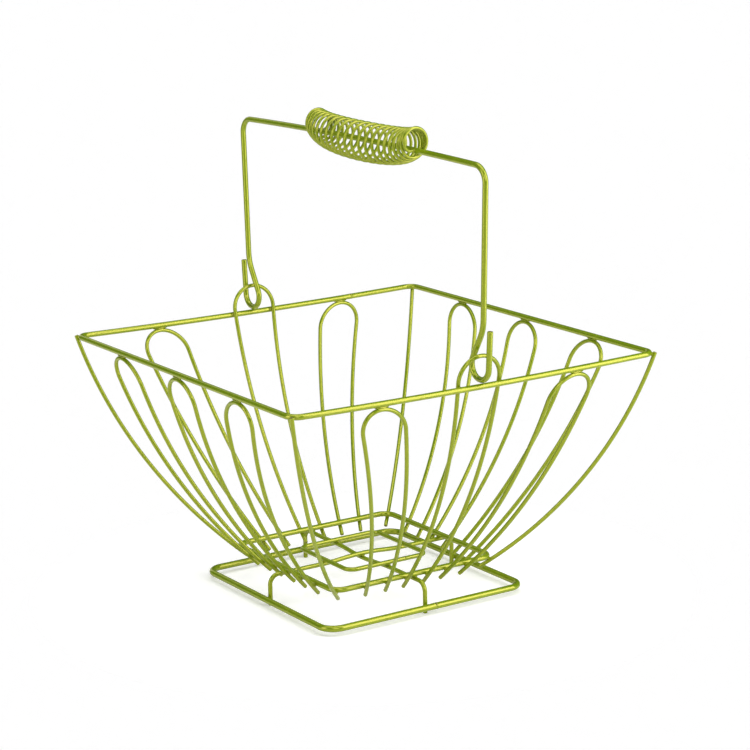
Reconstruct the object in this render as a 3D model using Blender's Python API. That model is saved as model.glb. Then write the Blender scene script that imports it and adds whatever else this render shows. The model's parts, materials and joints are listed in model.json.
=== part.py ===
"""Square wire produce basket with a swinging bail handle and a coiled wire grip.

Frame: metres, +Z up, origin on the ground under the middle of the basket.
Front is -Y, right is +X. The handle swings about the X axis, between the two eye loops
on the right and left sides.
"""
import math

import bpy
import numpy as np
from mathutils import Quaternion, Vector

MM = 0.001

# Clear space left between pieces that are welded or rest on each other
WELD_GAP = 0.3 * MM

# Wire diameters
RIM_WIRE = 3.5 * MM
LOWER_RING_WIRE = 3.5 * MM
FOOT_RING_WIRE = 4.0 * MM
LEG_WIRE = 2.8 * MM
WALL_WIRE = 2.5 * MM
BAIL_WIRE = 3.5 * MM
GRIP_WIRE = 1.9 * MM

# Square rings: half the side on the wire's centre line, corner radius, height
RIM_HALF = 128.0 * MM
RIM_CORNER = 7.0 * MM
RIM_HEIGHT = 155.0 * MM
RIM_SAG = 1.4 * MM
LOWER_RING_HALF = 58.0 * MM
LOWER_RING_CORNER = 8.0 * MM
LOWER_RING_HEIGHT = 22.5 * MM
INNER_RING_HALF = 29.0 * MM
INNER_RING_CORNER = 6.0 * MM
FOOT_RING_HALF = 72.0 * MM
FOOT_RING_CORNER = 10.0 * MM

# Leg wires: how far their cut ends stand below the foot ring, and their bend
LEG_END_BELOW_RING = 2.5 * MM
LEG_BEND = 6.0 * MM

# Wall: radius of its outward bow, and how far wires run on past the lower ring
WALL_BOW_RADIUS = 275.0 * MM
WALL_WIRE_TAIL = 7.5 * MM

# Side loops: three to a side, hairpins with legs that draw together downwards
LOOP_ARCH_RADIUS = 14.5 * MM
LOOP_FOOT_SPACING = 14.5 * MM
LOOP_PITCH_TOP = 69.0 * MM
LOOP_PITCH_FOOT = 27.5 * MM
EYE_RISE = 17.5 * MM

# Bail handle: span and height of the bar, its upward bow, bends, and the end hooks
BAIL_HALF_SPAN = 133.0 * MM
BAR_HEIGHT = 281.0 * MM
BAR_BOW = 2.0 * MM
BAIL_BEND = 9.5 * MM
HOOK_RADIUS = 8.0 * MM
HOOK_INSET = 1.5 * MM
HOOK_LEG_INSET = 3.0 * MM
HOOK_KINK_HEIGHT = 30.0 * MM
HOOK_KINK_BEND = 24.0 * MM
HOOK_TAIL_HEIGHT = 30.0 * MM
HOOK_TAIL_SPLAY = 2.0 * MM

# Grip: a barrel-shaped coil that hangs round the bar and is welded to it at both ends
GRIP_WHOLE_TURNS = 20
GRIP_LENGTH = 107.0 * MM
GRIP_OFFSET = 11.0 * MM
GRIP_END_PITCH = 2.45 * MM
GRIP_END_RADIUS = 8.25 * MM
GRIP_MIDDLE_RADIUS = 11.3 * MM
GRIP_MIDDLE_DROP = 1.1 * MM
GRIP_END_ANGLE = math.radians(103.0)

# Fineness of curved stretches
ARC_STEP = math.radians(15.0)
LEG_SEGMENTS = 8
ARCH_SEGMENTS = 12
WALL_SEGMENTS = 10
SAG_SEGMENTS = 8
CROSSING_SEGMENTS = 10
BAR_SEGMENTS = 8
GRIP_POINTS_PER_TURN = 18
FINE_TUBE = 2
SLIM_TUBE = 1

# Finish: metallic lime green lacquer, in linear colour
LIME = (0.305, 0.402, 0.030)
LIME_METALLIC = 0.55
LIME_ROUGHNESS = 0.30

# Heights and reaches that follow from the sizes above
FOOT_RING_HEIGHT = LEG_END_BELOW_RING + FOOT_RING_WIRE / 2
LEG_WIRE_HEIGHT = LOWER_RING_HEIGHT - (LOWER_RING_WIRE + LEG_WIRE) / 2 - WELD_GAP
LEG_REACH = FOOT_RING_HALF - (FOOT_RING_WIRE + LEG_WIRE) / 2 - WELD_GAP
CROSSING_SHIFT = (LEG_WIRE + WELD_GAP) / 2
INNER_RING_HEIGHT = LEG_WIRE_HEIGHT + LEG_WIRE + WELD_GAP
WALL_TO_LOWER_RING = (LOWER_RING_WIRE + WALL_WIRE) / 2 + WELD_GAP
WALL_TO_RIM = (RIM_WIRE + WALL_WIRE) / 2 + WELD_GAP
PIVOT_HEIGHT = RIM_HEIGHT - RIM_SAG + (RIM_WIRE + BAIL_WIRE) / 2 + WELD_GAP

# Sides of the basket and the turn about Z that brings the right side to each
SIDES = {"right": 0.0, "back": math.pi / 2, "left": math.pi, "front": -math.pi / 2}


def rim_height(y):
    """Height of the rim wire: its right and left sides sag towards the handle's eyes."""
    return RIM_HEIGHT - RIM_SAG * (1.0 - (y / RIM_HALF) ** 2)


def bar_height(x):
    """Height of the bowed handle bar above the pivot."""
    return BAR_HEIGHT - PIVOT_HEIGHT + BAR_BOW * (1.0 - (x / BAIL_HALF_SPAN) ** 2)


def filleted(corners, radii):
    """Straight runs from corner to corner, each inner corner rounded by its radius."""
    path = [corners[0]]
    for before, corner, after, radius in zip(corners, corners[1:], corners[2:], radii):
        inwards = (corner - before).normalized()
        outwards = (after - corner).normalized()
        turn = inwards.angle(outwards)
        axis = inwards.cross(outwards).normalized()
        start = corner - inwards * radius * math.tan(turn / 2)
        centre = start + axis.cross(inwards) * radius
        count = max(2, math.ceil(turn / ARC_STEP))
        for i in range(count + 1):
            path.append(centre + Quaternion(axis, turn * i / count) @ (start - centre))
    path.append(corners[-1])
    return path


def square_ring(half, corner_radius, side_segments=1):
    """Closed square with rounded corners, its right and left sides in several segments."""
    middle = half - corner_radius
    count = math.ceil(math.pi / 2 / ARC_STEP)
    path = []
    for quarter, start in enumerate((-math.pi / 2, 0.0, math.pi / 2, math.pi)):
        centre_x = middle if quarter in (0, 1) else -middle
        centre_y = middle if quarter in (1, 2) else -middle
        for i in range(count + 1):
            angle = start + math.pi / 2 * i / count
            path.append((centre_x + corner_radius * math.cos(angle),
                         centre_y + corner_radius * math.sin(angle)))
        if quarter in (0, 2):
            x, y = path[-1]
            path += [(x, y * (1.0 - 2.0 * i / side_segments)) for i in range(1, side_segments)]
    return path


def wall_arc(ring, rim, rim_offset, rise=0.0):
    """Outward distance and height along a bowed wall wire, as a function, and its length.

    Both points are (outward, height). The wire passes outside the lower ring's point and,
    by the offset, inside (+) or outside (-) the rim's point. Its length counts from its
    lower end, one tail past the ring, to the rim's point and on by the rise.
    """
    ring, rim = Vector(ring), Vector(rim)
    to_ring = WALL_BOW_RADIUS - WALL_TO_LOWER_RING
    to_rim = WALL_BOW_RADIUS + rim_offset
    chord = rim - ring
    forward = chord.normalized()
    inward = Vector((-forward.y, forward.x))
    share = (to_ring ** 2 - to_rim ** 2 + chord.length_squared) / (2.0 * chord.length)
    centre = ring + forward * share + inward * math.sqrt(to_ring ** 2 - share ** 2)
    ring_angle = math.atan2(ring.y - centre.y, ring.x - centre.x)
    rim_angle = math.atan2(rim.y - centre.y, rim.x - centre.x)
    start = ring_angle - WALL_WIRE_TAIL / WALL_BOW_RADIUS
    length = (rim_angle - start) * WALL_BOW_RADIUS + rise

    def along(distance):
        angle = start + distance / WALL_BOW_RADIUS
        return (centre.x + WALL_BOW_RADIUS * math.cos(angle),
                centre.y + WALL_BOW_RADIUS * math.sin(angle))

    return along, length


def hairpin(length):
    """Flat hairpin: straight legs tangent to a round arch, as (sideways, upward) points."""
    half_foot = LOOP_FOOT_SPACING / 2
    arch_height = length - LOOP_ARCH_RADIUS
    reach = math.hypot(half_foot, arch_height)
    start = math.acos(LOOP_ARCH_RADIUS / reach) - math.atan2(arch_height, half_foot)
    touch_x = LOOP_ARCH_RADIUS * math.cos(start)
    touch_y = arch_height + LOOP_ARCH_RADIUS * math.sin(start)
    leg = []
    for i in range(LEG_SEGMENTS):
        share = i / LEG_SEGMENTS
        leg.append((half_foot + (touch_x - half_foot) * share, touch_y * share))
    arch = []
    for i in range(ARCH_SEGMENTS + 1):
        angle = start + (math.pi - 2.0 * start) * i / ARCH_SEGMENTS
        arch.append((LOOP_ARCH_RADIUS * math.cos(angle),
                     arch_height + LOOP_ARCH_RADIUS * math.sin(angle)))
    return leg + arch + [(-x, y) for x, y in reversed(leg)]


def loop_path(along, length, sideways_foot, sideways_top):
    """A hairpin laid on the bowed wall of the right side."""
    path = []
    for sideways, upward in hairpin(length):
        outward, height = along(upward)
        middle = sideways_foot + (sideways_top - sideways_foot) * upward / length
        path.append((outward, middle + sideways, height))
    return path


def leg_wire_path(shift):
    """One leg wire along X: it crosses the other at the middle, shifted up or down."""
    half = []
    for i in range(CROSSING_SEGMENTS):
        share = i / CROSSING_SEGMENTS
        height = LEG_WIRE_HEIGHT + shift * (1.0 - share ** 2) ** 2
        half.append(Vector((INNER_RING_HALF * share, 0.0, height)))
    half += filleted([Vector((INNER_RING_HALF, 0.0, LEG_WIRE_HEIGHT)),
                      Vector((LEG_REACH, 0.0, LEG_WIRE_HEIGHT)),
                      Vector((LEG_REACH, 0.0, 0.0))], [LEG_BEND])
    return mirrored(half)


def mirrored(half):
    """Whole path from the half at +X, whose first point lies in the middle."""
    return [Vector((-p.x, p.y, p.z)) for p in reversed(half[1:])] + list(half)


def bail_path():
    """Bail from hook to hook, seen from the pivot: bar, leg, kink, hook and its tail."""
    hook_x = RIM_HALF - HOOK_INSET
    tail_x = hook_x + HOOK_RADIUS
    leg_x = BAIL_HALF_SPAN - HOOK_LEG_INSET
    # The leg leaves the hook on the tangent from the kink to the hook's circle
    to_kink = Vector((leg_x - hook_x, HOOK_KINK_HEIGHT - HOOK_RADIUS))
    tangent = math.atan2(to_kink.y, to_kink.x) + math.acos(HOOK_RADIUS / to_kink.length)
    slant = tangent - math.pi
    hook_foot = hook_x - HOOK_RADIUS * math.tan((math.pi / 2 - slant) / 2)
    bar = []
    for i in range(BAR_SEGMENTS):
        x = (BAIL_HALF_SPAN - BAIL_BEND) * i / BAR_SEGMENTS
        bar.append(Vector((x, 0.0, bar_height(x))))
    corners = [bar[-1],
               Vector((BAIL_HALF_SPAN, 0.0, bar_height(BAIL_HALF_SPAN))),
               Vector((leg_x, 0.0, HOOK_KINK_HEIGHT)),
               Vector((hook_foot, 0.0, 0.0)),
               Vector((tail_x, 0.0, 0.0)),
               Vector((tail_x + HOOK_TAIL_SPLAY, 0.0, HOOK_TAIL_HEIGHT))]
    radii = [BAIL_BEND, HOOK_KINK_BEND, HOOK_RADIUS, HOOK_RADIUS]
    return mirrored(bar[:-1] + filleted(corners, radii))


def grip_half():
    """Half of the grip from its middle turn to the weld on the bar at its right end."""
    bar_to_wire = (BAIL_WIRE + GRIP_WIRE) / 2 + WELD_GAP
    end_lift = GRIP_END_RADIUS - bar_to_wire
    end_turns = GRIP_WHOLE_TURNS / 2 + GRIP_END_ANGLE / (2.0 * math.pi)
    mean_pitch = GRIP_LENGTH / 2 / end_turns
    swell = 15.0 / 8.0 * (mean_pitch - GRIP_END_PITCH)
    count = round(end_turns * GRIP_POINTS_PER_TURN)
    path = []
    for i in range(count + 1):
        share = i / count
        bulge = 1.0 - share ** 2
        # The pitch grows from the end pitch by swell * bulge ** 2, here summed up
        opened = share - 2.0 * share ** 3 / 3.0 + share ** 5 / 5.0
        along = end_turns * (GRIP_END_PITCH * share + swell * opened)
        radius = GRIP_END_RADIUS + (GRIP_MIDDLE_RADIUS - GRIP_END_RADIUS) * bulge
        lift = end_lift - (end_lift + GRIP_MIDDLE_DROP) * bulge
        angle = 2.0 * math.pi * end_turns * share
        path.append(Vector((along, -radius * math.sin(angle), lift + radius * math.cos(angle))))
    # The last stretch turns level and runs straight onto the side of the bar
    last = path[-1]
    heading = math.pi - GRIP_END_ANGLE
    bend = last.z / (1.0 - math.cos(heading))
    steps = math.ceil(heading / ARC_STEP)
    for i in range(1, steps + 1):
        left = heading * (1.0 - i / steps)
        path.append(Vector((last.x,
                            last.y + bend * (math.sin(heading) - math.sin(left)),
                            bend * (1.0 - math.cos(left)))))
    path.append(Vector((last.x, -BAIL_WIRE / 2 - WELD_GAP, 0.0)))
    return path


def grip_path():
    """Whole grip: the left half is the right half turned about the vertical."""
    half = grip_half()
    whole = [Vector((-p.x, -p.y, p.z)) for p in reversed(half[1:])] + half
    path = []
    for point in whole:
        x = point.x + GRIP_OFFSET
        path.append(Vector((x, point.y, point.z + bar_height(x))))
    return path


def least_self_gap(path, diameter):
    """Least clear distance between turns of one tube, measured on its points."""
    line = np.array([tuple(p) for p in path])
    steps = np.linalg.norm(np.diff(line, axis=0), axis=1)
    travelled = np.concatenate(([0.0], np.cumsum(steps)))
    apart = np.linalg.norm(line[:, None] - line[None, :], axis=2)
    other_turn = np.abs(travelled[:, None] - travelled[None, :]) > 4.0 * diameter
    return apart[other_turn].min() - diameter


def lacquer(name):
    """Lime lacquer of one piece."""
    material = bpy.data.materials.new(name + "_lacquer")
    material.use_nodes = True
    shader = material.node_tree.nodes["Principled BSDF"]
    shader.inputs["Base Color"].default_value = (*LIME, 1.0)
    shader.inputs["Metallic"].default_value = LIME_METALLIC
    shader.inputs["Roughness"].default_value = LIME_ROUGHNESS
    material.diffuse_color = (*LIME, 1.0)
    return material


def wire(name, path, diameter, fineness, closed=False, turn=0.0, parent=None):
    """One piece of round wire along a path, with cut ends closed."""
    curve = bpy.data.curves.new(name, "CURVE")
    curve.dimensions = "3D"
    curve.bevel_depth = diameter / 2
    curve.bevel_resolution = fineness
    curve.use_fill_caps = True
    spline = curve.splines.new("POLY")
    spline.points.add(len(path) - 1)
    for point, place in zip(spline.points, path):
        point.co = (*place, 1.0)
    spline.use_cyclic_u = closed
    spline.use_smooth = True
    curve.materials.append(lacquer(name))
    piece = bpy.data.objects.new(name, curve)
    piece.rotation_euler.z = turn
    piece.parent = parent
    bpy.context.scene.collection.objects.link(piece)
    return piece


def make_rings():
    """Rim, lower ring, inner ring and foot ring."""
    rim = [(x, y, rim_height(y)) for x, y in square_ring(RIM_HALF, RIM_CORNER, SAG_SEGMENTS)]
    wire("top_rim", rim, RIM_WIRE, FINE_TUBE, closed=True)
    for name, half, corner, height, diameter in (
            ("lower_ring", LOWER_RING_HALF, LOWER_RING_CORNER, LOWER_RING_HEIGHT, LOWER_RING_WIRE),
            ("inner_ring", INNER_RING_HALF, INNER_RING_CORNER, INNER_RING_HEIGHT, LEG_WIRE),
            ("foot_ring", FOOT_RING_HALF, FOOT_RING_CORNER, FOOT_RING_HEIGHT, FOOT_RING_WIRE)):
        ring = [(x, y, height) for x, y in square_ring(half, corner)]
        wire(name, ring, diameter, FINE_TUBE, closed=True)


def make_legs():
    """Two wires that cross under the floor and end in the four legs."""
    wire("leg_wire_lower", leg_wire_path(-CROSSING_SHIFT), LEG_WIRE, FINE_TUBE)
    wire("leg_wire_upper", leg_wire_path(CROSSING_SHIFT), LEG_WIRE, FINE_TUBE, turn=math.pi / 2)


def make_side_loops():
    """Three loops on each side; the middle ones on the right and left are the taller eyes."""
    ring = (LOWER_RING_HALF, LOWER_RING_HEIGHT)
    for side, turn in SIDES.items():
        sagging = side in ("right", "left")
        for name, place in (("near", -1), ("middle", 0), ("far", 1)):
            sideways_top = place * LOOP_PITCH_TOP
            rim = rim_height(sideways_top) if sagging else RIM_HEIGHT
            if sagging and place == 0:
                arc = wall_arc(ring, (RIM_HALF, rim), WALL_TO_RIM, rise=EYE_RISE)
                wire("eye_loop_" + side, loop_path(*arc, 0.0, 0.0), WALL_WIRE, SLIM_TUBE, turn=turn)
            else:
                arc = wall_arc(ring, (RIM_HALF, rim - WALL_TO_RIM), 0.0)
                path = loop_path(*arc, place * LOOP_PITCH_FOOT, sideways_top)
                wire("side_loop_" + side + "_" + name, path, WALL_WIRE, SLIM_TUBE, turn=turn)


def make_corner_wires():
    """Four wires outside the rounded corners of the rim and of the lower ring."""
    diagonal = math.sqrt(2.0)
    ring_corner = (LOWER_RING_HALF - LOWER_RING_CORNER) * diagonal + LOWER_RING_CORNER
    rim_corner = (RIM_HALF - RIM_CORNER) * diagonal + RIM_CORNER
    along, length = wall_arc((ring_corner, LOWER_RING_HEIGHT), (rim_corner, RIM_HEIGHT),
                             -WALL_TO_RIM, rise=RIM_WIRE / 2)
    path = []
    for i in range(WALL_SEGMENTS + 1):
        outward, height = along(length * i / WALL_SEGMENTS)
        path.append((outward, 0.0, height))
    for i, name in enumerate(("back_right", "back_left", "front_left", "front_right")):
        wire("corner_wire_" + name, path, WALL_WIRE, SLIM_TUBE, turn=math.pi / 4 + i * math.pi / 2)


def make_handle():
    """Bail and its grip, both carried by the pivot that lies on the swing axis."""
    pivot = bpy.data.objects.new("bail_pivot", None)
    pivot.location.z = PIVOT_HEIGHT
    bpy.context.scene.collection.objects.link(pivot)
    wire("bail_handle", bail_path(), BAIL_WIRE, FINE_TUBE, parent=pivot)
    coil = grip_path()
    wire("grip_coil", coil, GRIP_WIRE, SLIM_TUBE, parent=pivot)
    print("grip_coil least gap to itself: %.2f mm" % (least_self_gap(coil, GRIP_WIRE) / MM))


def main():
    for old in list(bpy.data.objects):
        bpy.data.objects.remove(old, do_unlink=True)
    make_rings()
    make_legs()
    make_side_loops()
    make_corner_wires()
    make_handle()


main()
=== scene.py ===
"""Looks of a square wire produce basket: lacquered wires, their welds and a pale studio stage.

Laid out as an add-on: sizes and colours are properties, each group of pieces has an operator,
and main() calls the operators in order. Lengths are metres and +Z is up, in the frame of the
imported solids: the front is -Y, the right is +X, and the handle swings about X.
"""
import json
import math

import bmesh
import bpy
from bpy.props import FloatProperty, FloatVectorProperty, IntProperty, PointerProperty
from bpy.types import Operator, Panel, PropertyGroup
from mathutils import Matrix, Quaternion, Vector


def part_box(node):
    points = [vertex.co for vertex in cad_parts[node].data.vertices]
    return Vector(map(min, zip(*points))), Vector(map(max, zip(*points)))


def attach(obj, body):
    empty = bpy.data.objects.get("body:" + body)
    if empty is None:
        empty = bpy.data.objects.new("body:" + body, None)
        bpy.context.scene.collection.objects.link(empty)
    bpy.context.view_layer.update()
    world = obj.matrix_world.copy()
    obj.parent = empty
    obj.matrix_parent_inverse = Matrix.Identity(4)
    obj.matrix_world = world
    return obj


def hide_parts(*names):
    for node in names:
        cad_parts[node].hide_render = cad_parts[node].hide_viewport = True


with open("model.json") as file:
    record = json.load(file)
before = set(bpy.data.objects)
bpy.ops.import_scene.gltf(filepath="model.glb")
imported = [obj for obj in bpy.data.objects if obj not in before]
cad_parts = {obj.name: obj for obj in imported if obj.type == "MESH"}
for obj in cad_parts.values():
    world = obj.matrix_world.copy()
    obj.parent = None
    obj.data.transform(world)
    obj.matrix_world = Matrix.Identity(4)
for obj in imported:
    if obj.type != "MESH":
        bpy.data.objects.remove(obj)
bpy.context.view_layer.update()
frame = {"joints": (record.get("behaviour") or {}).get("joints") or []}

bl_info = {
    "name": "Wire Produce Basket",
    "version": (1, 0, 0),
    "blender": (4, 5, 0),
    "location": "View3D > Sidebar > Basket",
    "description": "Lacquered wires, welds and studio stage of a square wire produce basket",
    "category": "Object",
}

MM = 0.001
BASKET = "basket"
HANDLE = "handle"
PIVOT = Vector(frame["joints"][0]["pos_m"])
DRAWN = "drawn"
BARE = "bare"
SEAM = "seam"

# Sides of the basket and the turn about Z that brings the right side to each
SIDES = {"right": 0.0, "back": math.pi / 2, "left": math.pi, "front": -math.pi / 2}
CORNERS = ("back_right", "back_left", "front_left", "front_right")

# Fineness: step round a bend, sides of a wire, and segments of slow curves, welds and floor
ARC_STEP = math.radians(5.0)
WIRE_SIDES = 24
COIL_SIDES = 16
LEG_SEGMENTS = 22
ARCH_SEGMENTS = 34
CORNER_SEGMENTS = 28
SAG_SEGMENTS = 24
CROSSING_SEGMENTS = 20
BAR_SEGMENTS = 24
COIL_POINTS_PER_TURN = 40
WELD_SEGMENTS = 16
FLOOR_SEGMENTS = 64

# Profiles of wire ends: distance from the end in gauges, thickness there as a share, and how
# far the end's tone shows there
CUT_END = ((0.0, 0.76, 1.0), (0.016, 0.86, 0.0), (0.05, 0.94, 0.0), (0.10, 0.985, 0.0),
           (0.16, 1.0, 0.0))
BUTT_WELD = ((0.0, 0.94, 1.0), (0.04, 0.97, 1.0), (0.10, 1.04, 0.8), (0.16, 1.06, 0.2),
             (0.24, 1.05, 0.0), (0.36, 1.015, 0.0), (0.5, 1.0, 0.0))

# Where patterns and bare places start to show on the lacquer, and where they show fully
CLOUDED = (0.35, 0.70)
STREAKED = (0.45, 0.75)
SPARKLING = (0.70, 1.0)
BARED = (0.25, 0.90)
PATCHY = (0.40, 0.60)
SEAMED = (0.30, 0.70)

# How much of their colour shows where they show fully
STREAK_SHOW = 0.45
SPARKLE_SHOW = 0.12
# The cut ends are bare steel, and their near-black tone is a painted dark reflection of their rough
# faces
PAINTED_DARK_CUT_SHOW = 0.8
STEEL_SHOW = 0.7

# Dull and bright patches and lines: where they start and end, and the roughness they add there
PATCH_DULLNESS = (0.30, 0.75, -0.05, 0.07)
LINE_DULLNESS = (0.40, 0.75, -0.03, 0.05)

# How strongly lines and ripples stand in the surface
LINE_RELIEF = 0.05
RIPPLE_RELIEF = 0.10

# Upward part of a direction past which it counts as upright
UPRIGHT = 0.99

# Pitch that a coil gains in its middle over what it gains on average
MIDDLE_GAIN = 15.0 / 8.0


def length(name, description, default):
    """A size in metres."""
    return FloatProperty(name=name, description=description, default=default, unit="LENGTH",
                         precision=5)


def angle(name, description, degrees):
    """An angle, given in degrees."""
    return FloatProperty(name=name, description=description, default=math.radians(degrees),
                         subtype="ANGLE")


def share(name, description, default):
    """A share between none and all."""
    return FloatProperty(name=name, description=description, default=default, min=0.0, max=1.0,
                         subtype="FACTOR")


def amount(name, description, default):
    """A plain positive number."""
    return FloatProperty(name=name, description=description, default=default, min=0.0)


def colour(name, description, default):
    """A linear colour."""
    return FloatVectorProperty(name=name, description=description, default=default, size=3,
                               subtype="COLOR", min=0.0, max=1.0)


def flat_ring(node):
    """Half side and height of a level ring's centre line, and its gauge, from its solid."""
    low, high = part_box(node)
    gauge = high.z - low.z
    return (high.x - low.x - gauge) / 2, (high.z + low.z) / 2, gauge


RIM_WIRE = 3.5 * MM
RIM_LOW, RIM_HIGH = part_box("top_rim")
LOWER_HALF, LOWER_HEIGHT, LOWER_WIRE = flat_ring("lower_ring")
INNER_HALF, INNER_HEIGHT, LEG_WIRE = flat_ring("inner_ring")
FOOT_HALF, FOOT_HEIGHT, FOOT_WIRE = flat_ring("foot_ring")


class BasketSizes(PropertyGroup):
    """Sizes of the rings, legs and walls."""

    weld_gap: length("Weld gap", "Clear space between wires that are welded together", 0.3 * MM)
    rim_wire: length("Rim wire", "Gauge of the rim", RIM_WIRE)
    rim_half: length("Rim half side", "Half the rim's side", RIM_HIGH.x - RIM_WIRE / 2)
    rim_corner: length("Rim corner", "Corner radius of the rim", 7.0 * MM)
    rim_height: length("Rim height", "Height of the rim's corners", RIM_HIGH.z - RIM_WIRE / 2)
    rim_sag: length("Rim sag", "How far the rim's right and left sides sag in their middle",
                    RIM_HIGH.z - RIM_LOW.z - RIM_WIRE)
    lower_wire: length("Lower ring wire", "Gauge of the lower ring", LOWER_WIRE)
    lower_half: length("Lower ring half side", "Half the lower ring's side", LOWER_HALF)
    lower_corner: length("Lower ring corner", "Corner radius of the lower ring", 8.0 * MM)
    lower_height: length("Lower ring height", "Height of the lower ring", LOWER_HEIGHT)
    inner_half: length("Inner ring half side", "Half the inner ring's side", INNER_HALF)
    inner_corner: length("Inner ring corner", "Corner radius of the inner ring", 6.0 * MM)
    inner_height: length("Inner ring height", "Height of the inner ring", INNER_HEIGHT)
    foot_wire: length("Foot ring wire", "Gauge of the foot ring", FOOT_WIRE)
    foot_half: length("Foot ring half side", "Half the foot ring's side", FOOT_HALF)
    foot_corner: length("Foot ring corner", "Corner radius of the foot ring", 10.0 * MM)
    foot_height: length("Foot ring height", "Height of the foot ring", FOOT_HEIGHT)
    leg_wire: length("Leg wire", "Gauge of the leg wires and the inner ring", LEG_WIRE)
    leg_bend: length("Leg bend", "Radius of the bend into each leg", 6.0 * MM)
    wall_wire: length("Wall wire", "Gauge of the loops and corner wires", 2.5 * MM)
    wall_bow: length("Wall bow", "Radius of the walls' outward bow", 275.0 * MM)
    wall_tail: length("Wall tail", "How far wall wires run on past the lower ring", 7.5 * MM)
    arch_radius: length("Arch radius", "Radius of the loops' round tops", 14.5 * MM)
    foot_spacing: length("Leg spacing", "Spacing of a loop's two legs at their ends", 14.5 * MM)
    pitch_top: length("Loop pitch at the rim", "Spacing of neighbour loops at the rim", 69.0 * MM)
    pitch_foot: length("Loop pitch at the foot", "Spacing of neighbour loops below", 27.5 * MM)
    eye_rise: length("Eye rise", "How far the eye loops stand up past the rim", 17.5 * MM)
    rim_seam: length("Rim seam", "Place of the rim's butt weld along its left side", 77.0 * MM)
    lower_seam: length("Lower ring seam", "Place of its butt weld along the right side", -20.0 * MM)
    inner_seam: length("Inner ring seam", "Place of its butt weld along the right side", 12.0 * MM)
    foot_seam: length("Foot ring seam", "Place of its butt weld along the right side", 5.0 * MM)
    weld_width: length("Weld width", "Half width of a weld between crossing wires", 1.35 * MM)
    weld_height: length("Weld height", "Half height of a weld between its two wires", 0.70 * MM)
    eye_weld: length("Eye weld", "Half length of the weld between an eye's leg and the rim", 2.2 * MM)
    arch_weld: length("Arch weld", "Half length of the weld between a loop's top and the rim", 5.0 * MM)


class HandleSizes(PropertyGroup):
    """Sizes of the bail handle and its grip."""

    wire: length("Bail wire", "Gauge of the bail", 3.5 * MM)
    half_span: length("Half span", "Half the bar's length, bend to bend", 133.0 * MM)
    bar_height: length("Bar height", "Height of the bar's ends above the ground", 281.0 * MM)
    bar_bow: length("Bar bow", "How far the bar bows up in its middle", 2.0 * MM)
    bend: length("Bend", "Radius of the bends from the bar to the legs", 9.5 * MM)
    hook_radius: length("Hook radius", "Radius of the end hooks", 8.0 * MM)
    hook_inset: length("Hook inset", "How far the hooks' middles lie inside the rim", 1.5 * MM)
    leg_inset: length("Leg inset", "How far the legs draw in down to the kink", 3.0 * MM)
    kink_height: length("Kink height", "Height of the kink above the pivot", 30.0 * MM)
    kink_bend: length("Kink bend", "Bend radius of the kink", 24.0 * MM)
    tail_height: length("Tail height", "Height of the hooks' cut ends above the pivot", 30.0 * MM)
    tail_splay: length("Tail splay", "How far the tails lean out", 2.0 * MM)
    grip_wire: length("Grip wire", "Gauge of the grip coil", 1.9 * MM)
    grip_turns: IntProperty(name="Grip turns", description="Whole turns of the coil", default=20)
    grip_length: length("Grip length", "Length of the coil along the bar", 107.0 * MM)
    grip_offset: length("Grip offset", "Where the coil's middle sits on the bar", 11.0 * MM)
    grip_end_pitch: length("Grip end pitch", "Spacing of the coil's end turns", 2.45 * MM)
    grip_end_radius: length("Grip end radius", "Radius of the coil's end turns", 8.25 * MM)
    grip_middle_radius: length("Grip middle radius", "Radius of the middle turn", 11.3 * MM)
    grip_middle_drop: length("Grip drop", "How far the middle turn hangs under the bar", 1.1 * MM)
    grip_end_angle: angle("Grip end angle", "How far the end turns run past the top", 103.0)


class LacquerLook(PropertyGroup):
    """Colours and finish of the lacquer."""

    body: colour("Body", "Green of the lacquer's body", (0.150, 0.250, 0.003))
    pale: colour("Thin body", "Yellower green where the lacquer lies thin", (0.184, 0.280, 0.005))
    flake: colour("Flake", "Tone of the metal flakes in the lacquer", (0.338, 0.438, 0.025))
    scorched: colour("Scorched", "Browner green on the welds", (0.163, 0.206, 0.015))
    glint: colour("Glint", "Tint of the metal flakes' reflection", (1.0, 0.84, 0.17))
    # Bare steel of the cut ends, painted near black as a dark reflection of their rough faces
    cut: colour("Cut", "Dull steel of the cut ends", (0.03, 0.035, 0.025))
    steel: colour("Steel", "Bright steel at rubbed places", (0.36, 0.37, 0.30))
    scale: colour("Scale", "Dark scale in the rings' butt welds", (0.020, 0.030, 0.012))
    cloud_size: length("Cloud size", "Size of the thicker and thinner patches", 14.0 * MM)
    streak_length: length("Streak length", "Length of the lines from drawing the wire", 22.0 * MM)
    streak_width: length("Streak width", "Width of the lines from drawing the wire", 0.36 * MM)
    peel_size: length("Peel size", "Size of the ripples in the lacquer's surface", 1.8 * MM)
    flake_size: length("Flake size", "Size of the metal flakes", 0.30 * MM)
    ripple_depth: length("Ripple depth", "Depth of the lines and ripples", 0.02 * MM)
    rub_reach: length("Rub reach", "Size of the rubbed place where a hook rides the rim", 3.5 * MM)
    flake_strength: share("Flake reflection", "Reflection of the flakes", 1.0)
    flake_index: amount("Flake index", "Refractive index that sets the reflection", 1.88)
    roughness: share("Roughness", "Roughness of the flake layer", 0.22)
    cut_roughness: share("Cut roughness", "Roughness of the cut ends", 0.8)
    coat: share("Clear coat", "Weight of the clear coat", 0.10)
    coat_roughness: share("Coat roughness", "Roughness of the clear coat", 0.10)


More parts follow.
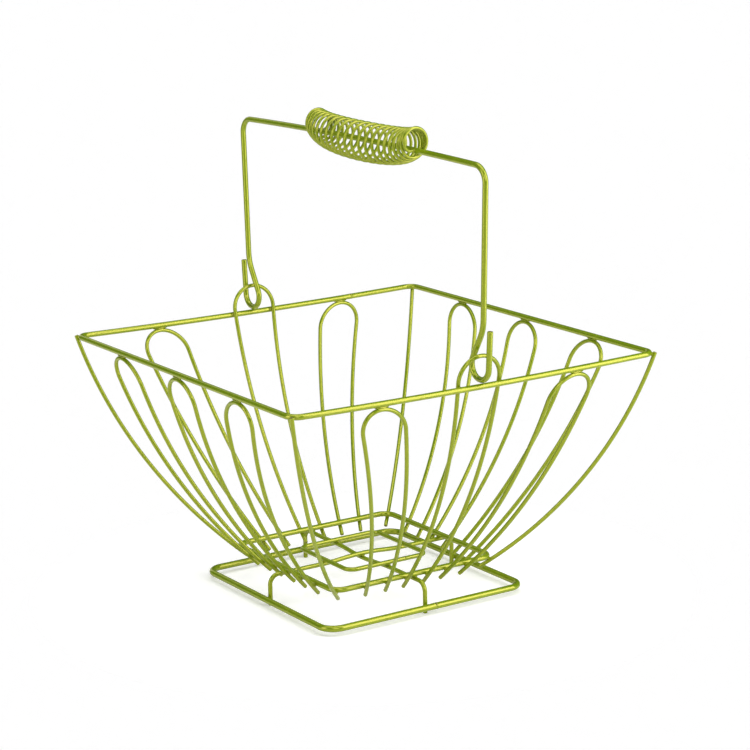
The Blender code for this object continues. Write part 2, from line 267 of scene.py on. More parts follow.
class StageLook(PropertyGroup):
    """Floor, lamps and camera."""

    floor: colour("Floor", "Colour of the floor", (0.92, 0.92, 0.92))
    floor_roughness: share("Floor roughness", "Roughness of the floor", 0.9)
    floor_size: length("Floor size", "Width of the floor", 30.0)
    floor_edge: length("Floor edge", "How high the floor turns up at its edge", 3.75)
    shade_reach: length("Shade reach", "How far from its middle the floor keeps its shading", 0.14)
    white_reach: length("White reach", "How far from its middle the floor turns plain white", 0.21)
    shade_lift: share("Shade lift", "How much white is added to the shaded floor", 0.28)
    sheet_reach: length("Sheet reach", "How far off reflections show the floor plain white", 0.35)
    grain: share("Grain", "How much the white varies from speck to speck", 0.2)
    sky: amount("Sky", "Strength of the even light from all round", 0.06)
    right_lamp: amount("Right lamp", "Brightness of the tall softbox on the right", 4.1)
    right_bearing: angle("Right bearing", "Its direction, to the right of the camera", 70.0)
    right_distance: length("Right distance", "How far it stands from the basket", 0.8)
    right_width: length("Right width", "Its width", 0.5)
    right_height: length("Right height", "Its height, up from the floor", 1.4)
    left_lamp: amount("Left lamp", "Brightness of the tall softbox on the left", 3.2)
    left_bearing: angle("Left bearing", "Its direction, to the left of the camera", 56.0)
    left_distance: length("Left distance", "How far it stands from the basket", 1.3)
    left_width: length("Left width", "Its width", 0.6)
    left_height: length("Left height", "Its height, up from the floor", 1.2)
    front_lamp: amount("Front lamp", "Brightness of the softbox above the camera", 3.8)
    front_bearing: angle("Front bearing", "Its direction, to the right of the camera", 12.0)
    front_distance: length("Front distance", "How far it hangs from the basket", 1.6)
    front_low: length("Front low edge", "Height of its lower edge", 0.55)
    front_width: length("Front width", "Its width", 0.9)
    front_height: length("Front height", "Its height", 0.9)
    back_lamp: amount("Back lamp", "Brightness of the tall softbox at the left rear", 0.9)
    back_bearing: angle("Back bearing", "Its direction, to the left of the camera", 150.0)
    back_distance: length("Back distance", "How far it stands from the basket", 1.4)
    back_width: length("Back width", "Its width", 0.6)
    back_height: length("Back height", "Its height, up from the floor", 1.2)
    top_lamp: amount("Top lamp", "Brightness of the overhead softbox", 2.0)
    top_width: length("Top width", "Its width", 1.6)
    top_height: length("Top height", "How high it hangs", 1.7)
    camera_place: FloatVectorProperty(name="Camera place", description="Where the camera stands",
                                      default=(1.2348, -0.8053, 0.4942), unit="LENGTH")
    camera_azimuth: angle("Azimuth", "Turn of the view about Z, from looking along +Y", 56.518)
    camera_elevation: angle("Elevation", "Angle that the camera looks down", 13.677)
    camera_roll: angle("Roll", "Tilt of the picture", -0.949)
    camera_lens: FloatProperty(name="Lens", description="Focal length", default=117.96,
                               unit="CAMERA")


# Paths of the wires


def rounded(corners, radii):
    """Straight runs from corner to corner, each inner corner rounded by its radius."""
    path = [corners[0]]
    for before, corner, after, radius in zip(corners, corners[1:], corners[2:], radii):
        inwards = (corner - before).normalized()
        outwards = (after - corner).normalized()
        turn = inwards.angle(outwards)
        axis = inwards.cross(outwards).normalized()
        start = corner - inwards * radius * math.tan(turn / 2)
        centre = start + axis.cross(inwards) * radius
        count = max(2, math.ceil(turn / ARC_STEP))
        for i in range(count + 1):
            path.append(centre + Quaternion(axis, turn * i / count) @ (start - centre))
    path.append(corners[-1])
    return path


def turned(path, turn):
    """A path turned about Z."""
    turning = Matrix.Rotation(turn, 3, "Z")
    return [turning @ point for point in path]


def mirrored(half):
    """Whole path from the half at +X, whose first point lies in the middle."""
    return [Vector((-p.x, p.y, p.z)) for p in reversed(half[1:])] + list(half)


def square_ring(half, corner, height, seam):
    """Square with rounded corners, closed at a seam on its right side at that y."""
    corners = [Vector((half, seam, height)), Vector((half, half, height)),
               Vector((-half, half, height)), Vector((-half, -half, height)),
               Vector((half, -half, height)), Vector((half, seam, height))]
    return rounded(corners, [corner] * 4)


def rim_height(sizes, y):
    """Height of the rim wire: its right and left sides sag towards the handle's eyes."""
    return sizes.rim_height - sizes.rim_sag * (1.0 - (y / sizes.rim_half) ** 2)


def rim_path(sizes):
    """Rim, closed at a seam on its left side."""
    level = square_ring(sizes.rim_half, sizes.rim_corner, 0.0, -sizes.rim_seam)
    path = []
    for start, end in zip(level, level[1:]):
        along_y = abs(end.y - start.y) > sizes.rim_corner
        count = SAG_SEGMENTS if along_y else 1
        path += [start.lerp(end, i / count) for i in range(count)]
    path.append(level[-1])
    path = turned(path, math.pi)
    return [Vector((p.x, p.y, rim_height(sizes, p.y))) for p in path]


def wall_arc(sizes, ring, rim, rim_offset, rise=0.0):
    """Outward distance and height along a bowed wall wire, as a function, and its length.

    Both points are (outward, height). The wire passes outside the lower ring's point and,
    by the offset, inside (+) or outside (-) the rim's point. Its length counts from its
    lower end, one tail past the ring, to the rim's point and on by the rise.
    """
    ring, rim = Vector(ring), Vector(rim)
    bow = sizes.wall_bow
    to_ring = bow - (sizes.lower_wire + sizes.wall_wire) / 2 - sizes.weld_gap
    to_rim = bow + rim_offset
    chord = rim - ring
    forward = chord.normalized()
    inward = Vector((-forward.y, forward.x))
    part = (to_ring ** 2 - to_rim ** 2 + chord.length_squared) / (2.0 * chord.length)
    centre = ring + forward * part + inward * math.sqrt(to_ring ** 2 - part ** 2)
    ring_angle = math.atan2(ring.y - centre.y, ring.x - centre.x)
    rim_angle = math.atan2(rim.y - centre.y, rim.x - centre.x)
    start = ring_angle - sizes.wall_tail / bow
    total = (rim_angle - start) * bow + rise

    def along(distance):
        turn = start + distance / bow
        return centre.x + bow * math.cos(turn), centre.y + bow * math.sin(turn)

    return along, total


def is_eye(side, place):
    """Whether this loop is one of the two eyes that hold the handle."""
    return place == 0 and side in ("right", "left")


def rim_point(sizes, side, y):
    """Point of the rim on a side, before the side is turned to its place."""
    sagging = side in ("right", "left")
    return Vector((sizes.rim_half, y, rim_height(sizes, y) if sagging else sizes.rim_height))


def side_arc(sizes, side, place):
    """Arc of one loop of a side, whose place counts from the middle: -1, 0 or 1."""
    ring = (sizes.lower_half, sizes.lower_height)
    rim = rim_point(sizes, side, place * sizes.pitch_top)
    to_rim = (sizes.rim_wire + sizes.wall_wire) / 2 + sizes.weld_gap
    if is_eye(side, place):
        return wall_arc(sizes, ring, (rim.x, rim.z), to_rim, rise=sizes.eye_rise)
    return wall_arc(sizes, ring, (rim.x, rim.z - to_rim), 0.0)


def hairpin(sizes, total):
    """Flat hairpin: straight legs tangent to a round arch, as (sideways, upward) points."""
    half_foot = sizes.foot_spacing / 2
    radius = sizes.arch_radius
    arch_height = total - radius
    reach = math.hypot(half_foot, arch_height)
    start = math.acos(radius / reach) - math.atan2(arch_height, half_foot)
    touch = Vector((radius * math.cos(start), arch_height + radius * math.sin(start)))
    foot = Vector((half_foot, 0.0))
    leg = [foot.lerp(touch, i / LEG_SEGMENTS) for i in range(LEG_SEGMENTS)]
    arch = []
    for i in range(ARCH_SEGMENTS + 1):
        turn = start + (math.pi - 2.0 * start) * i / ARCH_SEGMENTS
        arch.append(Vector((radius * math.cos(turn), arch_height + radius * math.sin(turn))))
    return leg + arch + [Vector((-p.x, p.y)) for p in reversed(leg)]


def leg_offset(sizes, total, upward):
    """How far a hairpin's straight leg lies sideways at this height."""
    flat = hairpin(sizes, total)
    foot, touch = flat[0], flat[LEG_SEGMENTS]
    return foot.x + (touch.x - foot.x) * upward / touch.y


def loop_point(sizes, arc, place, sideways, upward):
    """A point of a loop on the right side, from its place on the flat hairpin."""
    along, total = arc
    outward, height = along(upward)
    pitch = sizes.pitch_foot + (sizes.pitch_top - sizes.pitch_foot) * upward / total
    return Vector((outward, place * pitch + sideways, height))


def loop_path(sizes, side, place):
    """A hairpin laid on the bowed wall of its side."""
    arc = side_arc(sizes, side, place)
    path = [loop_point(sizes, arc, place, p.x, p.y) for p in hairpin(sizes, arc[1])]
    return turned(path, SIDES[side])


def corner_reach(half, corner):
    """Distance from the middle to the rounded corner of a square."""
    return (half - corner) * math.sqrt(2.0) + corner


def corner_arc(sizes):
    """Arc of a corner wire in the upright plane through the basket's diagonal."""
    ring = corner_reach(sizes.lower_half, sizes.lower_corner)
    rim = corner_reach(sizes.rim_half, sizes.rim_corner)
    to_rim = (sizes.rim_wire + sizes.wall_wire) / 2 + sizes.weld_gap
    return wall_arc(sizes, (ring, sizes.lower_height), (rim, sizes.rim_height), -to_rim,
                    rise=sizes.rim_wire / 2)


def corner_turn(index):
    """Turn about Z that brings +X to a corner."""
    return math.pi / 4 + index * math.pi / 2


def corner_path(sizes, index):
    """Single wire outside a corner of the lower ring and of the rim."""
    along, total = corner_arc(sizes)
    path = []
    for i in range(CORNER_SEGMENTS + 1):
        outward, height = along(total * i / CORNER_SEGMENTS)
        path.append(Vector((outward, 0.0, height)))
    return turned(path, corner_turn(index))


def leg_height(sizes):
    """Height of the leg wires where they pass under the lower ring."""
    return sizes.lower_height - (sizes.lower_wire + sizes.leg_wire) / 2 - sizes.weld_gap


def leg_reach(sizes):
    """How far out the legs stand, just inside the foot ring."""
    return sizes.foot_half - (sizes.foot_wire + sizes.leg_wire) / 2 - sizes.weld_gap


def leg_path(sizes, side):
    """One leg wire along X: it crosses the other in the middle, on its upper or lower side."""
    shift = side * (sizes.leg_wire + sizes.weld_gap) / 2
    level = leg_height(sizes)
    reach = leg_reach(sizes)
    half = []
    for i in range(CROSSING_SEGMENTS):
        part = i / CROSSING_SEGMENTS
        height = level + shift * (1.0 - part ** 2) ** 2
        half.append(Vector((sizes.inner_half * part, 0.0, height)))
    half += rounded([Vector((sizes.inner_half, 0.0, level)), Vector((reach, 0.0, level)),
                     Vector((reach, 0.0, 0.0))], [sizes.leg_bend])
    return mirrored(half)


def bar_height(handle, x):
    """Height of the bowed handle bar above the ground."""
    return handle.bar_height + handle.bar_bow * (1.0 - (x / handle.half_span) ** 2)


def bail_path(sizes, handle):
    """Bail from hook to hook: bar, leg, kink, hook and its tail."""
    hook_x = sizes.rim_half - handle.hook_inset
    tail_x = hook_x + handle.hook_radius
    leg_x = handle.half_span - handle.leg_inset
    # The leg leaves the hook on the tangent from the kink to the hook's circle
    to_kink = Vector((leg_x - hook_x, handle.kink_height - handle.hook_radius))
    tangent = math.atan2(to_kink.y, to_kink.x) + math.acos(handle.hook_radius / to_kink.length)
    slant = tangent - math.pi
    hook_foot = hook_x - handle.hook_radius * math.tan((math.pi / 2 - slant) / 2)
    bar_end = handle.half_span - handle.bend
    bar = []
    for i in range(BAR_SEGMENTS):
        x = bar_end * i / BAR_SEGMENTS
        bar.append(Vector((x, 0.0, bar_height(handle, x))))
    level = PIVOT.z
    corners = [bar[-1],
               Vector((handle.half_span, 0.0, handle.bar_height)),
               Vector((leg_x, 0.0, level + handle.kink_height)),
               Vector((hook_foot, 0.0, level)),
               Vector((tail_x, 0.0, level)),
               Vector((tail_x + handle.tail_splay, 0.0, level + handle.tail_height))]
    radii = [handle.bend, handle.kink_bend, handle.hook_radius, handle.hook_radius]
    return mirrored(bar[:-1] + rounded(corners, radii))


def grip_half(handle, gap):
    """Half of the grip from its middle turn to the weld on the bar at its right end."""
    bar_to_wire = (handle.wire + handle.grip_wire) / 2 + gap
    end_lift = handle.grip_end_radius - bar_to_wire
    end_turns = handle.grip_turns / 2 + handle.grip_end_angle / (2.0 * math.pi)
    mean_pitch = handle.grip_length / 2 / end_turns
    swell = MIDDLE_GAIN * (mean_pitch - handle.grip_end_pitch)
    count = round(end_turns * COIL_POINTS_PER_TURN)
    path = []
    for i in range(count + 1):
        part = i / count
        bulge = 1.0 - part ** 2
        # The pitch grows from the end pitch by swell * bulge ** 2, here summed up
        opened = part - 2.0 * part ** 3 / 3.0 + part ** 5 / 5.0
        along = end_turns * (handle.grip_end_pitch * part + swell * opened)
        radius = handle.grip_end_radius
        radius += (handle.grip_middle_radius - handle.grip_end_radius) * bulge
        lift = end_lift - (end_lift + handle.grip_middle_drop) * bulge
        turn = 2.0 * math.pi * end_turns * part
        path.append(Vector((along, -radius * math.sin(turn), lift + radius * math.cos(turn))))
    # The last stretch turns level and runs straight onto the side of the bar
    last = path[-1]
    heading = math.pi - handle.grip_end_angle
    bend = last.z / (1.0 - math.cos(heading))
    steps = math.ceil(heading / ARC_STEP)
    for i in range(1, steps + 1):
        left = heading * (1.0 - i / steps)
        path.append(Vector((last.x,
                            last.y + bend * (math.sin(heading) - math.sin(left)),
                            bend * (1.0 - math.cos(left)))))
    path.append(Vector((last.x, -handle.wire / 2 - gap, 0.0)))
    return path


def grip_path(handle, gap):
    """Whole grip: the left half is the right half turned about the vertical."""
    half = grip_half(handle, gap)
    whole = [Vector((-p.x, -p.y, p.z)) for p in reversed(half[1:])] + half
    path = []
    for point in whole:
        x = point.x + handle.grip_offset
        path.append(Vector((x, point.y, point.z + bar_height(handle, x))))
    return path


# Welds: the two wires' points that face each other


def eye_welds(sizes):
    """Welds of the eyes' legs to the rim, the rim's point first."""
    welds = []
    for side in ("right", "left"):
        arc = side_arc(sizes, side, 0)
        upward = arc[1] - sizes.eye_rise
        offset = leg_offset(sizes, arc[1], upward)
        for sideways in (-offset, offset):
            leg = loop_point(sizes, arc, 0, sideways, upward)
            welds.append(turned([rim_point(sizes, side, leg.y), leg], SIDES[side]))
    return welds


def corner_welds(sizes):
    """Welds of the corner wires to the rim, the rim's point first."""
    along, total = corner_arc(sizes)
    outward, height = along(total - sizes.rim_wire / 2)
    rim = corner_reach(sizes.rim_half, sizes.rim_corner)
    pair = [Vector((rim, 0.0, sizes.rim_height)), Vector((outward, 0.0, height))]
    return [turned(pair, corner_turn(i)) for i in range(4)]


def arch_welds(sizes):
    """Welds of the side loops' round tops under the rim, the rim's point first."""
    welds = []
    for side, turn in SIDES.items():
        for place in (-1, 0, 1):
            if not is_eye(side, place):
                arc = side_arc(sizes, side, place)
                top = loop_point(sizes, arc, place, 0.0, arc[1])
                welds.append(turned([rim_point(sizes, side, top.y), top], turn))
    return welds


def ring_welds(sizes):
    """Welds of the wall wires and leg wires to the lower ring, the ring's point first."""
    welds = []
    for side, turn in SIDES.items():
        for place in (-1, 0, 1):
            arc = side_arc(sizes, side, place)
            offset = leg_offset(sizes, arc[1], sizes.wall_tail)
            for sideways in (-offset, offset):
                leg = loop_point(sizes, arc, place, sideways, sizes.wall_tail)
                ring = Vector((sizes.lower_half, leg.y, sizes.lower_height))
                welds.append(turned([ring, leg], turn))
        ring = Vector((sizes.lower_half, 0.0, sizes.lower_height))
        leg = Vector((sizes.lower_half, 0.0, leg_height(sizes)))
        welds.append(turned([ring, leg], turn))
    outward, height = corner_arc(sizes)[0](sizes.wall_tail)
    ring = corner_reach(sizes.lower_half, sizes.lower_corner)
    pair = [Vector((ring, 0.0, sizes.lower_height)), Vector((outward, 0.0, height))]
    welds += [turned(pair, corner_turn(i)) for i in range(4)]
    return welds


def leg_welds(sizes):
    """Welds of the leg wires to each other and to the inner ring, the leg's point first."""
    level = leg_height(sizes)
    shift = (sizes.leg_wire + sizes.weld_gap) / 2
    welds = [[Vector((0.0, 0.0, level - shift)), Vector((0.0, 0.0, level + shift))]]
    leg = Vector((sizes.inner_half, 0.0, level))
    inner = Vector((sizes.inner_half, 0.0, sizes.inner_height))
    welds += [turned([leg, inner], turn) for turn in SIDES.values()]
    return welds


def foot_welds(sizes):
    """Welds of the legs to the foot ring, the ring's point first."""
    ring = Vector((sizes.foot_half, 0.0, sizes.foot_height))
    leg = Vector((leg_reach(sizes), 0.0, sizes.foot_height))
    return [turned([ring, leg], turn) for turn in SIDES.values()]


def grip_welds(handle, gap):
    """Welds of the coil's two ends to the bar, the bar's point first."""
    path = grip_path(handle, gap)
    welds = []
    for end in (path[0], path[-1]):
        welds.append([Vector((end.x, 0.0, bar_height(handle, end.x))), end])
    return welds


# Meshes


def with_ends(path, gauge, profile):
    """Path points with their thickness and end tone, the profile's steps added at both ends."""
    first = (path[1] - path[0]).normalized() * gauge
    last = (path[-2] - path[-1]).normalized() * gauge
    head = [(path[0] + first * inset, swell, tone) for inset, swell, tone in profile]
    tail = [(path[-1] + last * inset, swell, tone) for inset, swell, tone in reversed(profile)]
    return head + [(point, 1.0, 0.0) for point in path[1:-1]] + tail


def drawn_wire(path, gauge, closed=False, sides=WIRE_SIDES):
    """Bmesh of a round wire: a circle that is extruded step by step along its path.

    A closed ring has a butt weld at its seam, an open wire has cut ends with rounded edges.
    Each vertex keeps its place on the straight wire in the layer DRAWN, and the tone of its
    end in SEAM or BARE.
    """
    stations = with_ends(path, gauge, BUTT_WELD if closed else CUT_END)
    if closed:
        stations.pop()
    bm = bmesh.new()
    drawn = bm.verts.layers.float_vector.new(DRAWN)
    ends = bm.verts.layers.float.new(SEAM if closed else BARE)
    points = [point for point, swell, tone in stations]
    steps = [(after - before).normalized() for before, after in zip(points, points[1:])]
    before, after = steps[0], steps[-1]
    if closed:
        before = after = (points[0] - points[-1]).normalized()
    headings = [(a + b).normalized() for a, b in zip([before] + steps, steps + [after])]
    turn = headings[0].to_track_quat("Z", "Y")
    place = Matrix.LocRotScale(points[0], turn, Vector((1.0, 1.0, 1.0)) * stations[0][1])
    ring = bmesh.ops.create_circle(bm, segments=sides, radius=gauge / 2, matrix=place)["verts"]
    edges = list(bm.edges)
    loops = [edges]
    travelled = 0.0
    mark_ring(ring, place, travelled, drawn, stations[0][2], ends, closed)
    for i in range(1, len(stations)):
        turn = headings[i - 1].rotation_difference(headings[i]) @ turn
        moved = Matrix.LocRotScale(points[i], turn, Vector((1.0, 1.0, 1.0)) * stations[i][1])
        made = bmesh.ops.extrude_edge_only(bm, edges=edges)["geom"]
        ring = [part for part in made if isinstance(part, bmesh.types.BMVert)]
        in_ring = set(ring)
        edges = [part for part in made if isinstance(part, bmesh.types.BMEdge)
                 and in_ring.issuperset(part.verts)]
        shift = moved @ place.inverted()
        for vert in ring:
            vert.co = shift @ vert.co
        place = moved
        travelled += (points[i] - points[i - 1]).length
        mark_ring(ring, place, travelled, drawn, stations[i][2], ends, closed)
    loops.append(edges)
    if closed:
        bmesh.ops.bridge_loops(bm, edges=loops[0] + loops[1])
    else:
        for loop in loops:
            bmesh.ops.contextual_create(bm, geom=loop)
    bmesh.ops.recalc_face_normals(bm, faces=bm.faces[:])
    return bm


def mark_ring(ring, place, travelled, drawn, tone, ends, closed):
    """Keeps the place of a ring's vertices on the straight wire, and the tone of its end.

    The tone of a seam shows on the upper side only.
    """
    inverse = place.inverted()
    for vert in ring:
        across = inverse @ vert.co
        vert[drawn] = Vector((travelled, across.x, across.y))
        upper = (vert.co - place.translation).normalized().z
        vert[ends] = tone * max(0.0, upper) if closed else tone


def make_object(bm, name, material):
    """Object at the origin from a finished bmesh, with its material."""
    mesh = bpy.data.meshes.new(name)
    bm.to_mesh(mesh)
    bm.free()
    mesh.materials.append(material)
    made = bpy.data.objects.new(name, mesh)
    bpy.context.scene.collection.objects.link(made)
    return made


def make_piece(bm, name, body, material, replaced=None):
    """Smooth piece on its body, which may stand for a solid of the frame."""
    piece = make_object(bm, name, material)
    piece.data.shade_smooth()
    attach(piece, body)
    if replaced:
        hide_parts(replaced)
    return piece


def make_wire(node, body, path, gauge, material, closed=False, sides=WIRE_SIDES):
    """Finished wire that stands for a solid of the frame."""
    bm = drawn_wire(path, gauge, closed, sides)
    return make_piece(bm, node + "_wire", body, material, replaced=node)


def add_weld(bm, sizes, pair, gauge, reach):
    """Lens of weld metal in the gap between two wires, the first of this gauge.

    It is drawn out level, across the line that joins the wires.
    """
    first, second = pair
    up = (second - first).normalized()
    side = up.orthogonal() if abs(up.z) > UPRIGHT else up.cross(Vector((0.0, 0.0, 1.0)))
    if reach > sizes.weld_width:
        # A longer weld follows the rim, which runs across the way out
        side = Vector((0.0, 0.0, 1.0)).cross(outward_of(first))
    side = (side - up * side.dot(up)).normalized()
    turn = Matrix((side, up.cross(side), up)).transposed().to_4x4()
    middle = first + up * (gauge + sizes.weld_gap) / 2
    size = Matrix.Diagonal((reach, sizes.weld_width, sizes.weld_height, 1.0))
    bmesh.ops.create_uvsphere(bm, u_segments=WELD_SEGMENTS, v_segments=WELD_SEGMENTS // 2,
                              radius=1.0, matrix=Matrix.Translation(middle) @ turn @ size)


def outward_of(point):
    """Level direction out of the basket's side at this point."""
    if abs(point.x) > abs(point.y):
        return Vector((point.x, 0.0, 0.0)).normalized()
    return Vector((0.0, point.y, 0.0)).normalized()


# Materials


def add_node(tree, kind, **values):
    """Node with the values of its settings and of its input sockets."""
    node = tree.nodes.new(kind)
    for name, value in values.items():
        if hasattr(node, name):
            setattr(node, name, value)
        else:
            node.inputs[name.replace("_", " ").title()].default_value = value
    return node


def lacquer(name, rubbed=None, weld=False):
    """Metallic lime lacquer: green body, golden flakes, drawing lines, and bare cut ends whose
    near-black tone is a painted dark reflection.

    The rubbed point, and its mirror image at -X, is worn to steel. A weld is browner and has
    no drawing lines.
    """
    made = bpy.data.materials.get(name)
    if made:
        return made
    look = bpy.context.scene.basket_lacquer
    material = bpy.data.materials.new(name)
    material.use_nodes = True
    tree = material.node_tree
    link = tree.links.new
    shader = tree.nodes["Principled BSDF"]
    place = tree.nodes.new("ShaderNodeTexCoord").outputs["Object"]
    bare = add_node(tree, "ShaderNodeAttribute", attribute_name=BARE).outputs["Fac"]

    cloud = noise(tree, place, look.cloud_size, detail=3.0)
    peel = noise(tree, place, look.peel_size, detail=2.0)
    flake = add_node(tree, "ShaderNodeTexVoronoi", scale=1.0 / look.flake_size)
    link(place, flake.inputs["Vector"])
    sparkle = add_node(tree, "ShaderNodeSeparateColor")
    link(flake.outputs["Color"], sparkle.inputs["Color"])
    drawn = add_node(tree, "ShaderNodeAttribute", attribute_name=DRAWN)
    lines = add_node(tree, "ShaderNodeVectorMath", operation="MULTIPLY")
    lines.inputs[1].default_value = (1.0 / look.streak_length, 1.0 / look.streak_width,
                                     1.0 / look.streak_width)
    link(drawn.outputs["Vector"], lines.inputs[0])
    streak = noise(tree, lines.outputs["Vector"], 1.0, detail=2.0)

    # Greener where the lacquer lies thick, yellower along the lines and in thin patches
    thick = look.scorched if weld else look.body
    glitter = sparkle.outputs["Red"]
    tone = blend(tree, spread(tree, cloud, *CLOUDED), thick, look.pale)
    tone = blend(tree, spread(tree, streak, *STREAKED, 0.0, STREAK_SHOW), tone, look.pale)
    tone = blend(tree, spread(tree, glitter, *SPARKLING, 0.0, SPARKLE_SHOW), tone, look.flake)
    # Cut ends: bare steel, made near black by a painted dark reflection rather than the steel's own
    # colour
    tone = blend(tree, spread(tree, bare, *BARED, 0.0, PAINTED_DARK_CUT_SHOW), tone, look.cut)
    if rubbed:
        worn = rub_mask(tree, place, rubbed, look.rub_reach, peel)
        tone = blend(tree, spread(tree, worn, *BARED, 0.0, STEEL_SHOW), tone, look.steel)
    seam = add_node(tree, "ShaderNodeAttribute", attribute_name=SEAM).outputs["Fac"]
    tone = blend(tree, spread(tree, seam, *SEAMED), tone, look.scale)
    link(tone, shader.inputs["Base Color"])

    # Duller in patches, along the lines and on cut ends
    low, high, less, more = PATCH_DULLNESS
    dull = spread(tree, cloud, low, high, look.roughness + less, look.roughness + more)
    lined = pairwise(tree, "ADD", dull, spread(tree, streak, *LINE_DULLNESS))
    sawn = spread(tree, bare, *BARED, 0.0, look.cut_roughness)
    link(largest(tree, lined, sawn), shader.inputs["Roughness"])

    # Fine lines and ripples stand in the surface
    normal = None
    for height, strength in ((streak, LINE_RELIEF), (peel, RIPPLE_RELIEF)):
        bump = add_node(tree, "ShaderNodeBump", strength=strength, distance=look.ripple_depth)
        link(height, bump.inputs["Height"])
        if normal:
            link(normal, bump.inputs["Normal"])
        normal = bump.outputs["Normal"]
    link(normal, shader.inputs["Normal"])

    shader.inputs["IOR"].default_value = look.flake_index
    shader.inputs["Specular IOR Level"].default_value = look.flake_strength
    shader.inputs["Specular Tint"].default_value = (*look.glint, 1.0)
    shader.inputs["Coat Weight"].default_value = look.coat
    shader.inputs["Coat Roughness"].default_value = look.coat_roughness
    return material


def ring_lacquer(sizes):
    """Lacquer of the rings and legs, rubbed where the handle's hooks ride under the rim."""
    rubbed = Vector((sizes.rim_half, 0.0, rim_height(sizes, 0.0) - sizes.rim_wire / 2))
    return lacquer("ring_lacquer", rubbed)


def handle_lacquer(sizes, handle):
    """Lacquer of the bail and its grip, rubbed inside the hooks."""
    rubbed = Vector((sizes.rim_half - handle.hook_inset, 0.0, PIVOT.z + handle.wire / 2))
    return lacquer("handle_lacquer", rubbed)


def noise(tree, vector, size, detail):
    """Cloudy noise with features of this size."""
    texture = add_node(tree, "ShaderNodeTexNoise", scale=1.0 / size, detail=detail, roughness=0.55)
    tree.links.new(vector, texture.inputs["Vector"])
    return texture.outputs["Fac"]


def spread(tree, value, low, high, new_low=0.0, new_high=1.0, kind="LINEAR"):
    """A value's range, clamped and mapped onto a new range."""
    mapping = add_node(tree, "ShaderNodeMapRange", interpolation_type=kind, from_min=low,
                       from_max=high, to_min=new_low, to_max=new_high)
    tree.links.new(value, mapping.inputs["Value"])
    return mapping.outputs["Result"]


def blend(tree, factor, first, second):
    """Mix of two colours, each a value or the output of a node."""
    mixed = add_node(tree, "ShaderNodeMix", data_type="RGBA")
    tree.links.new(factor, mixed.inputs["Factor"])
    for socket, tone in ((mixed.inputs["A"], first), (mixed.inputs["B"], second)):
        if isinstance(tone, bpy.types.NodeSocket):
            tree.links.new(tone, socket)
        else:
            socket.default_value = (*tone, 1.0)
    return mixed.outputs["Result"]


def pairwise(tree, operation, first, second):
    """A sum, product or other result of two values."""
    node = add_node(tree, "ShaderNodeMath", operation=operation)
    tree.links.new(first, node.inputs[0])
    tree.links.new(second, node.inputs[1])
    return node.outputs["Value"]


def largest(tree, first, second):
    """The larger of two values."""
    return pairwise(tree, "MAXIMUM", first, second)


def product(tree, first, second):
    """Two values multiplied."""
    return pairwise(tree, "MULTIPLY", first, second)


def rub_mask(tree, place, rubbed, reach, patches):
    """1 in patches near the rubbed point or its mirror image at -X, 0 elsewhere.

    The patches fade out over the outer two thirds of the reach.
    """
    link = tree.links.new
    folded = add_node(tree, "ShaderNodeVectorMath", operation="ABSOLUTE")
    link(place, folded.inputs[0])
    distance = add_node(tree, "ShaderNodeVectorMath", operation="DISTANCE")
    distance.inputs[1].default_value = rubbed
    link(folded.outputs["Vector"], distance.inputs[0])
    near = spread(tree, distance.outputs["Value"], reach, reach / 3)
    return product(tree, near, spread(tree, patches, *PATCHY))


class BASKET_OT_rings(Operator):
    """Makes the rim, the lower ring, the inner ring and the foot ring"""

    bl_idname = "basket.rings"
    bl_label = "Rings"

    def execute(self, context):
        sizes = context.scene.basket_sizes
        material = ring_lacquer(sizes)
        rim = rim_path(sizes)
        make_wire("top_rim", BASKET, rim, sizes.rim_wire, material, closed=True)
        for node, half, corner, height, gauge, seam in (
                ("lower_ring", sizes.lower_half, sizes.lower_corner, sizes.lower_height,
                 sizes.lower_wire, sizes.lower_seam),
                ("inner_ring", sizes.inner_half, sizes.inner_corner, sizes.inner_height,
                 sizes.leg_wire, sizes.inner_seam),
                ("foot_ring", sizes.foot_half, sizes.foot_corner, sizes.foot_height,
                 sizes.foot_wire, sizes.foot_seam)):
            ring = square_ring(half, corner, height, seam)
            make_wire(node, BASKET, ring, gauge, material, closed=True)
        return {"FINISHED"}


class BASKET_OT_legs(Operator):
    """Makes the two leg wires that cross under the floor"""

    bl_idname = "basket.legs"
    bl_label = "Leg wires"

    def execute(self, context):
        sizes = context.scene.basket_sizes
        material = ring_lacquer(sizes)
        for node, side, turn in (("leg_wire_lower", -1, 0.0), ("leg_wire_upper", 1, math.pi / 2)):
            path = turned(leg_path(sizes, side), turn)
            make_wire(node, BASKET, path, sizes.leg_wire, material)
        return {"FINISHED"}


class BASKET_OT_loops(Operator):
    """Makes the side loops and the two taller eye loops"""

    bl_idname = "basket.loops"
    bl_label = "Side loops"

    def execute(self, context):
        sizes = context.scene.basket_sizes
        material = lacquer("wall_lacquer")
        for side in SIDES:
            for name, place in (("near", -1), ("middle", 0), ("far", 1)):
                node = "side_loop_" + side + "_" + name
                if is_eye(side, place):
                    node = "eye_loop_" + side
                make_wire(node, BASKET, loop_path(sizes, side, place), sizes.wall_wire, material)
        return {"FINISHED"}


class BASKET_OT_corners(Operator):
    """Makes the four corner wires"""

    bl_idname = "basket.corners"
    bl_label = "Corner wires"

    def execute(self, context):
        sizes = context.scene.basket_sizes
        material = lacquer("wall_lacquer")
        for i, name in enumerate(CORNERS):
            make_wire("corner_wire_" + name, BASKET, corner_path(sizes, i), sizes.wall_wire, material)
        return {"FINISHED"}


class BASKET_OT_bail(Operator):
    """Makes the swinging bail handle"""

    bl_idname = "basket.bail"
    bl_label = "Bail handle"

    def execute(self, context):
        sizes = context.scene.basket_sizes
        handle = context.scene.basket_handle
        path = bail_path(sizes, handle)
        make_wire("bail_handle", HANDLE, path, handle.wire, handle_lacquer(sizes, handle))
        return {"FINISHED"}


